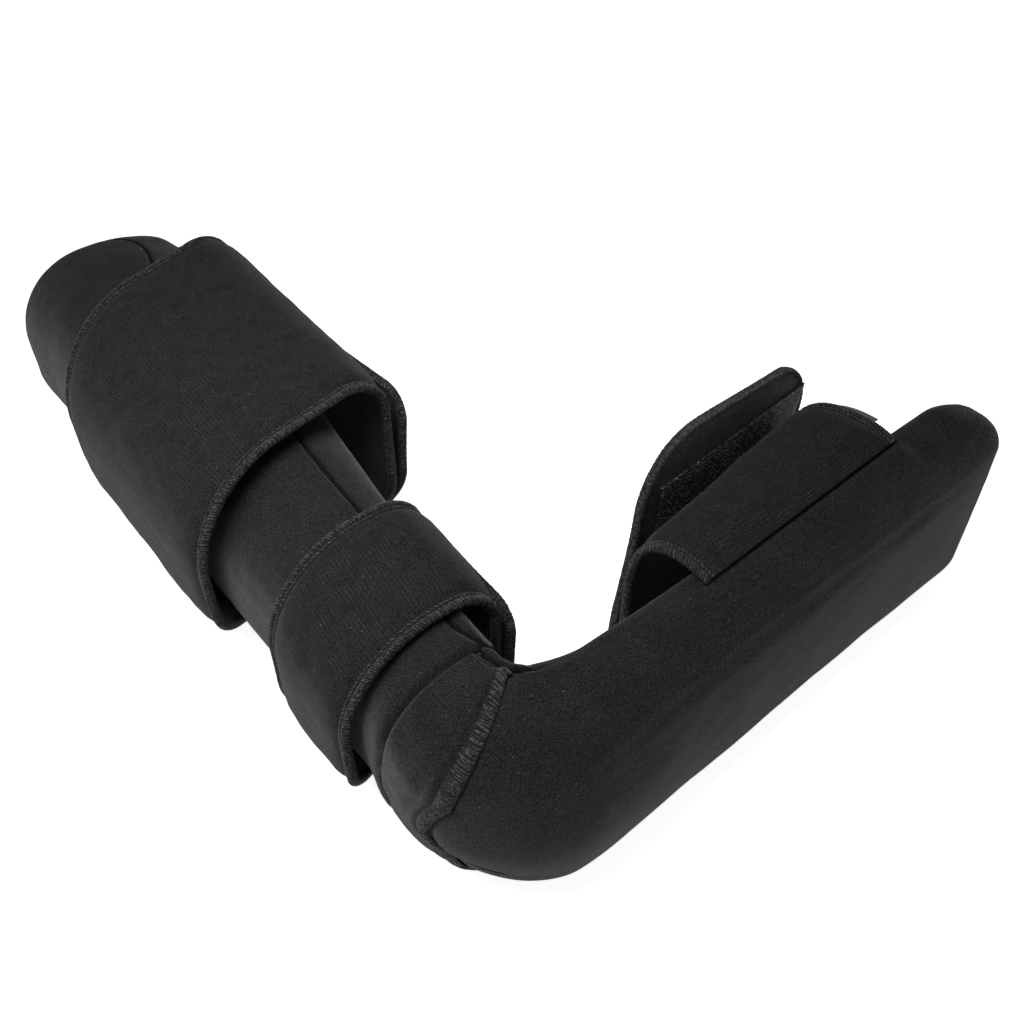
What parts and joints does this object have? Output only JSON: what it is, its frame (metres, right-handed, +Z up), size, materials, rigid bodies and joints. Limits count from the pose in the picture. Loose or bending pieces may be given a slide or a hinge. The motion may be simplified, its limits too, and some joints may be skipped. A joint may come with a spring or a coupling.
{
  "type": "ankle support",
  "caption": "Padded L-shaped ankle and foot support: a soft trough holds the lower leg and foot at a right angle, closed over calf, ankle and instep by wide wrap straps.",
  "frame": {"origin": "centre of the bounding box at the surface the support lies on", "axes": "+Z up from that surface, the support lying on its side; +X from the heel to the toes; +Y from the sole up the leg to the knee end"},
  "size_m": [0.2748, 0.3568, 0.111],
  "materials": {
    "plush": "black brushed plush",
    "knit": "black ribbed knit loop fabric",
    "hook": "black hook tape",
    "tab": "dark grey satin"
  },
  "bodies": {
    "root": {"leg_pad": "plush", "foot_pad": "plush", "ankle_cuff": "plush", "calf_strap": "knit", "ankle_strap": "knit", "foot_strap": "knit", "foot_flap": "knit", "hook_tape": "hook", "strap_tab": "tab"}
  },
  "joints": []
}
